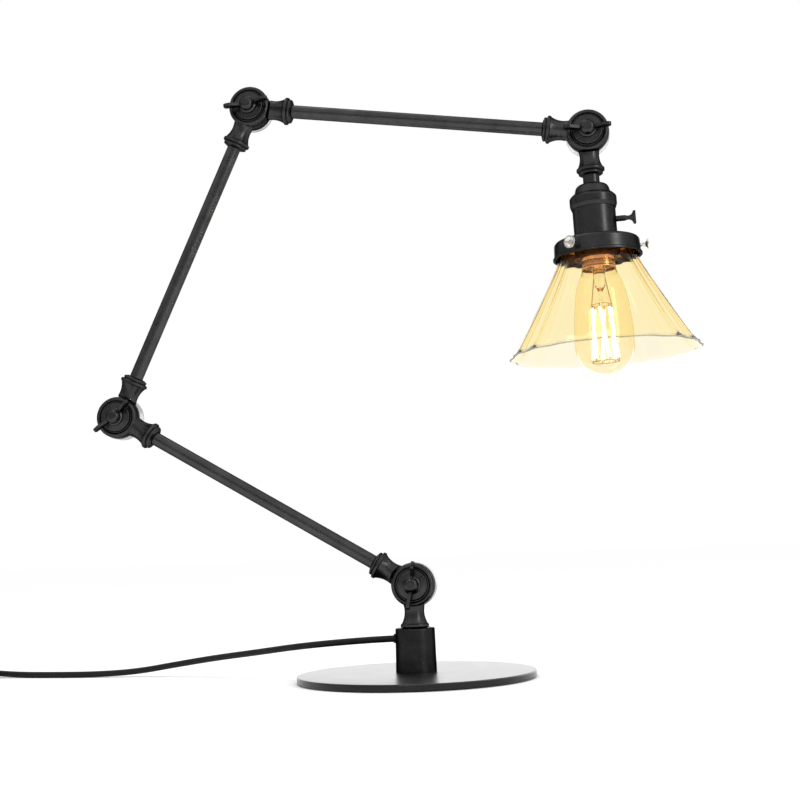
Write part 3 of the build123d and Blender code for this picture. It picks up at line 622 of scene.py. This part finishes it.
# Screw cap of the bulb, closed by cement under the glass
CAP_TOP = 80.4
CAP_END = 102.8
CAP_R = 12.6
CAP_FLAT_R = 9.0
CAP_SHOULDER_R = 11.9
CAP_SKIRT = 97.0
CAP_SKIRT_BEND = 0.4
THREADS = 4
THREAD_PITCH = 3.6
THREAD_START = 1.6
THREAD_ROOT_R = 12.2
THREAD_ROOT_BEND = 0.5
THREAD_CREST_R = 13.1
THREAD_CREST_BEND = 0.8
CAP_BEAD_R = 13.1
CAP_BEAD_FOOT = 1.5
CAP_BEAD_START = 1.1
CAP_BEAD_FOOT_BEND = 0.3
CAP_BEAD_BEND = 0.4
CEMENT_R = 12.0
CEMENT_END = 100.5
CEMENT_RISE = 1.0


def make_cap():
    corners = [(CAP_FLAT_R, CAP_TOP), (CAP_SHOULDER_R, CAP_TOP)]
    for i in range(THREADS):
        height = CAP_TOP + THREAD_START + i * THREAD_PITCH
        corners.append((THREAD_ROOT_R, height, THREAD_ROOT_BEND))
        corners.append((THREAD_CREST_R, height + THREAD_PITCH / 2, THREAD_CREST_BEND))
    corners += [
        (CAP_R, CAP_SKIRT, CAP_SKIRT_BEND),
        (CAP_R, CAP_END - CAP_BEAD_FOOT, CAP_BEAD_FOOT_BEND),
        (CAP_BEAD_R, CAP_END - CAP_BEAD_START, CAP_BEAD_BEND),
        (CAP_BEAD_R, CAP_END, CAP_BEAD_BEND),
        (CEMENT_R, CAP_END),
        (CEMENT_R, CEMENT_END + CEMENT_RISE),
        (0, CEMENT_END),
    ]
    build = spin([(0, CAP_TOP)] + rounded(*corners), SEGMENTS_SMALL)
    add_piece("bulb_screw_cap", build, HEAD, "head", CAP_METAL, "bulb_cap")


# Shade holder: a flat cup with a rolled lip, its ring nut and its bare metal inside
SHELL_R = 15.55
HOLDER_TOP = 81.0
HOLDER_END = 94.2
HOLDER_SHEET = 1.1
HOLDER_SHOULDER_R = 30.6
HOLDER_SHOULDER_DROP = 0.6
HOLDER_SHOULDER_BEND = 2.8
HOLDER_SIDE_R = 31.1
HOLDER_SIDE_END = 2.0
HOLDER_SIDE_BEND = 0.3
HOLDER_LIP_R = 32.1
HOLDER_LIP_START = 1.4
HOLDER_LIP_BEND = 0.4
HOLDER_INSIDE_R = 29.8
HOLDER_INSIDE_DROP = 2.0
HOLDER_INSIDE_BEND = 2.0
HOLDER_MOUTH_R = 30.2
RING_NUT_R = 18.6
RING_NUT_TOP = 1.5
RING_NUT_SLOPE = 0.1
RING_NUT_TOP_BEND = 0.4
RING_NUT_END = 4.4
RING_NUT_BEND = 0.6
LINING_START = 0.3
LINING_DROP = 1.3
LINING_MOUTH_R = 30.1
LINING_SHORT = 2.5
LINING_GAP = 0.05
LINING_T = 0.2


def make_holder():
    shelf = (HOLDER_INSIDE_R, HOLDER_TOP + HOLDER_INSIDE_DROP, HOLDER_INSIDE_BEND)
    cup = rounded(
        (SHELL_R, HOLDER_TOP),
        (HOLDER_SHOULDER_R, HOLDER_TOP + HOLDER_SHOULDER_DROP, HOLDER_SHOULDER_BEND),
        (HOLDER_SIDE_R, HOLDER_END - HOLDER_SIDE_END, HOLDER_SIDE_BEND),
        (HOLDER_LIP_R, HOLDER_END - HOLDER_LIP_START, HOLDER_LIP_BEND),
        (HOLDER_LIP_R, HOLDER_END, HOLDER_LIP_BEND),
        (HOLDER_MOUTH_R, HOLDER_END),
        shelf,
        (SHELL_R, HOLDER_TOP + HOLDER_SHEET),
    )
    build = spin(cup, SEGMENTS_WIDE, closed=True)
    add_piece("holder_cup", build, HEAD, "head", BLACK, "shade_holder")
    ring = rounded(
        (SHELL_R, HOLDER_TOP + RING_NUT_TOP),
        (RING_NUT_R, HOLDER_TOP + RING_NUT_TOP + RING_NUT_SLOPE, RING_NUT_TOP_BEND),
        (RING_NUT_R, HOLDER_TOP + RING_NUT_END, RING_NUT_BEND),
        (SHELL_R, HOLDER_TOP + RING_NUT_END),
    )
    build = spin(ring, SEGMENTS_SMALL, closed=True)
    add_piece("holder_ring_nut", build, HEAD, "head", COPPER, "holder_ring")
    wall = rounded(
        (RING_NUT_R + LINING_START, HOLDER_TOP + LINING_DROP),
        shelf,
        (LINING_MOUTH_R, HOLDER_END - LINING_SHORT),
    )
    skin = [(r - LINING_GAP, z + LINING_GAP) for r, z in wall]
    face = [(r - LINING_GAP - LINING_T, z + LINING_GAP + LINING_T) for r, z in reversed(wall)]
    build = spin(skin + face, SEGMENTS, closed=True)
    add_piece("holder_lining", build, HEAD, "head", COPPER)


# Socket shell: black outside, and bare copper where it stands in the holder
SHELL_BLACK = 0.048
SHELL_COPPER = (0.42, 0.22, 0.13)
SHELL_MASK_HALF = 0.1
SHELL_MASK_LOW = 0.45
SHELL_MASK_HIGH = 0.55


def make_shell_finish():
    look = Look("shell_finish")
    down = HEAD.col[2].to_3d()
    along = look.tree.nodes.new("ShaderNodeVectorMath")
    along.operation = "DOT_PRODUCT"
    along.inputs[1].default_value = down
    look.tree.links.new(look.place, along.inputs[0])
    start = HEAD.translation.dot(down) + (HOLDER_TOP + HOLDER_SHEET) * MM
    below = look.spread(along.outputs["Value"], start - SHELL_MASK_HALF * MM, start + SHELL_MASK_HALF * MM)
    mask = below.outputs["Result"]
    look.colour(mask, grey(SHELL_BLACK), SHELL_COPPER, low=SHELL_MASK_LOW, high=SHELL_MASK_HIGH)
    dress(nodes["socket_shell"], satin(look))


# Rims of the knuckles' back discs in bright metal, a painted reflection: the white sheen that their black edges
# catch. The upper elbow's is the lamp's top, so it stays a little smaller.
RIM_R = 16.0
TOP_RIM_R = 15.36
RIM_FRONT = 1.0
RIM_BACK = 10.0
RIM_DEPTH = 1.6
RIM_FRONT_BEND = 0.2
RIM_LIP_FRONT = 9.1
RIM_LIP_BEND = 0.3
RIM_LIP_SEAM = 0.3
RIMS = (
    ("base_pivot", "lower_arm", RIM_R),
    ("lower_elbow", "middle_arm", RIM_R),
    ("upper_elbow", "upper_arm", TOP_RIM_R),
    ("head_pivot", "head", RIM_R),
)


def make_rims():
    for joint, body, r in RIMS:
        seat = r - RIM_DEPTH
        band = rounded(
            (seat, RIM_FRONT),
            (r, RIM_FRONT, RIM_FRONT_BEND),
            (r, RIM_LIP_FRONT),
            (seat, RIM_LIP_FRONT),
        )
        lip = rounded(
            (seat, RIM_LIP_FRONT),
            (r, RIM_LIP_FRONT),
            (r, RIM_BACK, RIM_LIP_BEND),
            (seat, RIM_BACK, RIM_LIP_BEND),
            (seat, RIM_LIP_FRONT + RIM_LIP_SEAM),
        )
        place = Matrix.Rotation(-math.pi / 2, 4, "X")
        place.translation = Vector(JOINTS[joint]["pos_m"])
        # The band carries the painted reflection; the lip behind it stays black.
        add_piece(joint + "_rim", spin(band, SEGMENTS, closed=True), place, body, RIM_PAINTED_SHEEN)
        add_piece(joint + "_rim_lip", spin(lip, SEGMENTS, closed=True), place, body, BLACK)


# Post, up to the flange of the knuckle that stands on it, in a darker copy of the black paint: painted shade.
POST_FOOT = 5.2
POST_TOP = 36.2
POST_FOOT_R = 14.6
POST_TOP_R = 14.1
POST_BEND = 1.1
POST_BORE_R = 5.6


def make_post():
    rows = rounded(
        (POST_BORE_R, POST_FOOT),
        (POST_FOOT_R, POST_FOOT),
        (POST_TOP_R, POST_TOP, POST_BEND),
        (POST_BORE_R, POST_TOP),
    )
    add_piece("post_turning", spin(rows, SEGMENTS, closed=True), Matrix(), "base", POST_BLACK_PAINTED_SHADE, "post")


# The base's wing nut stands turned a little from where its solid does
NUT_TURN = math.radians(-16.0)


def turn_nut():
    joint = JOINTS["base_wing_nut_turn"]
    pivot = Vector(joint["pos_m"])
    solid = nodes["base_wing_nut"]
    mesh = solid.data.copy()
    mesh.transform(solid.matrix_world)
    turn = Matrix.Rotation(NUT_TURN, 4, Vector(joint["axis"]))
    mesh.transform(Matrix.Translation(pivot) @ turn @ Matrix.Translation(-pivot))
    nut = bpy.data.objects.new("base_nut", mesh)
    bpy.context.scene.collection.objects.link(nut)
    dress(nut, BLACK)
    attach(nut, "base_wing_nut")
    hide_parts("base_wing_nut")


# Stage: a pale floor, and two screens that only reflections see, in metres
FLOOR_HALF = 30.0
FLOOR_GREY = 0.99
STAGE_ROUGH = 0.9
FLAG_GREY = 0.42
FLAG_R = 2.0
FLAG_FOOT = 0.02
FLAG_H = 1.1
FLAG_START = math.radians(165)
FLAG_SWEEP = math.radians(210)
FLAG_STEPS = 24
PANEL_GREY = 0.9
PANEL_GLOW = 1.0
PANEL_Y = 1.5
PANEL_HALF = 1.6
PANEL_FOOT = 0.01
PANEL_H = 0.6


def stage_piece(name, build, tone, glow=0.0):
    mesh = bpy.data.meshes.new(name)
    build.to_mesh(mesh)
    build.free()
    piece = bpy.data.objects.new(name, mesh)
    bpy.context.scene.collection.objects.link(piece)
    look = Look(name)
    look.set(Base_Color=(tone, tone, tone, 1), Roughness=STAGE_ROUGH, Specular_IOR_Level=0.0)
    look.set(Emission_Color=(1, 1, 1, 1), Emission_Strength=glow)
    dress(piece, look.material)
    return piece


def only_reflected(piece):
    piece.visible_camera = False
    piece.visible_diffuse = False
    piece.visible_transmission = False
    piece.visible_volume_scatter = False
    piece.visible_shadow = False


def make_floor():
    ground = bmesh.new()
    bmesh.ops.create_grid(ground, x_segments=1, y_segments=1, size=FLOOR_HALF)
    stage_piece("floor", ground, FLOOR_GREY)


def make_flag():
    """A dark screen round the front."""
    wall = bmesh.new()
    feet = []
    tops = []
    for i in range(FLAG_STEPS + 1):
        a = FLAG_START + FLAG_SWEEP * i / FLAG_STEPS
        feet.append(wall.verts.new((FLAG_R * math.cos(a), FLAG_R * math.sin(a), FLAG_FOOT)))
        tops.append(wall.verts.new((FLAG_R * math.cos(a), FLAG_R * math.sin(a), FLAG_H)))
    for i in range(FLAG_STEPS):
        wall.faces.new((feet[i], feet[i + 1], tops[i + 1], tops[i]))
    only_reflected(stage_piece("dark_flag", wall, FLAG_GREY))


def make_panel():
    """A bright screen low behind."""
    sheet = bmesh.new()
    low = [sheet.verts.new((x, PANEL_Y, PANEL_FOOT)) for x in (-PANEL_HALF, PANEL_HALF)]
    high = [sheet.verts.new((x, PANEL_Y, PANEL_H)) for x in (PANEL_HALF, -PANEL_HALF)]
    sheet.faces.new(low + high)
    only_reflected(stage_piece("bright_panel", sheet, PANEL_GREY, glow=PANEL_GLOW))


# Light: an even white surround and two softboxes
LIGHT_TARGET = Vector((0, 0, 0.2))
SOFTBOX_WATTS = 6.0


def make_world():
    world = bpy.data.worlds.new("studio")
    world.use_nodes = True
    bpy.context.scene.world = world
    background = world.node_tree.nodes["Background"]
    background.inputs["Color"].default_value = (1, 1, 1, 1)
    background.inputs["Strength"].default_value = 1.0


def make_softbox(name, at, width, height):
    data = bpy.data.lights.new(name, "AREA")
    data.shape = "RECTANGLE"
    data.size = width
    data.size_y = height
    data.energy = SOFTBOX_WATTS
    light = bpy.data.objects.new(name, data)
    light.location = at
    light.rotation_euler = (LIGHT_TARGET - Vector(at)).to_track_quat("-Z", "Y").to_euler()
    bpy.context.scene.collection.objects.link(light)


make_camera()
dress_nodes()
make_cord()
make_shade()
make_bulb()
make_filaments()
make_cap()
make_holder()
make_shell_finish()
make_rims()
make_post()
turn_nut()
make_floor()
make_flag()
make_panel()
make_world()
make_softbox("key_light", at=(1.33, -0.9, 0.7), width=0.3, height=0.9)
make_softbox("top_light", at=(-0.3, 0.3, 1.8), width=0.7, height=0.7)
bpy.context.scene.view_settings.view_transform = "Standard"

bpy.context.view_layer.update()
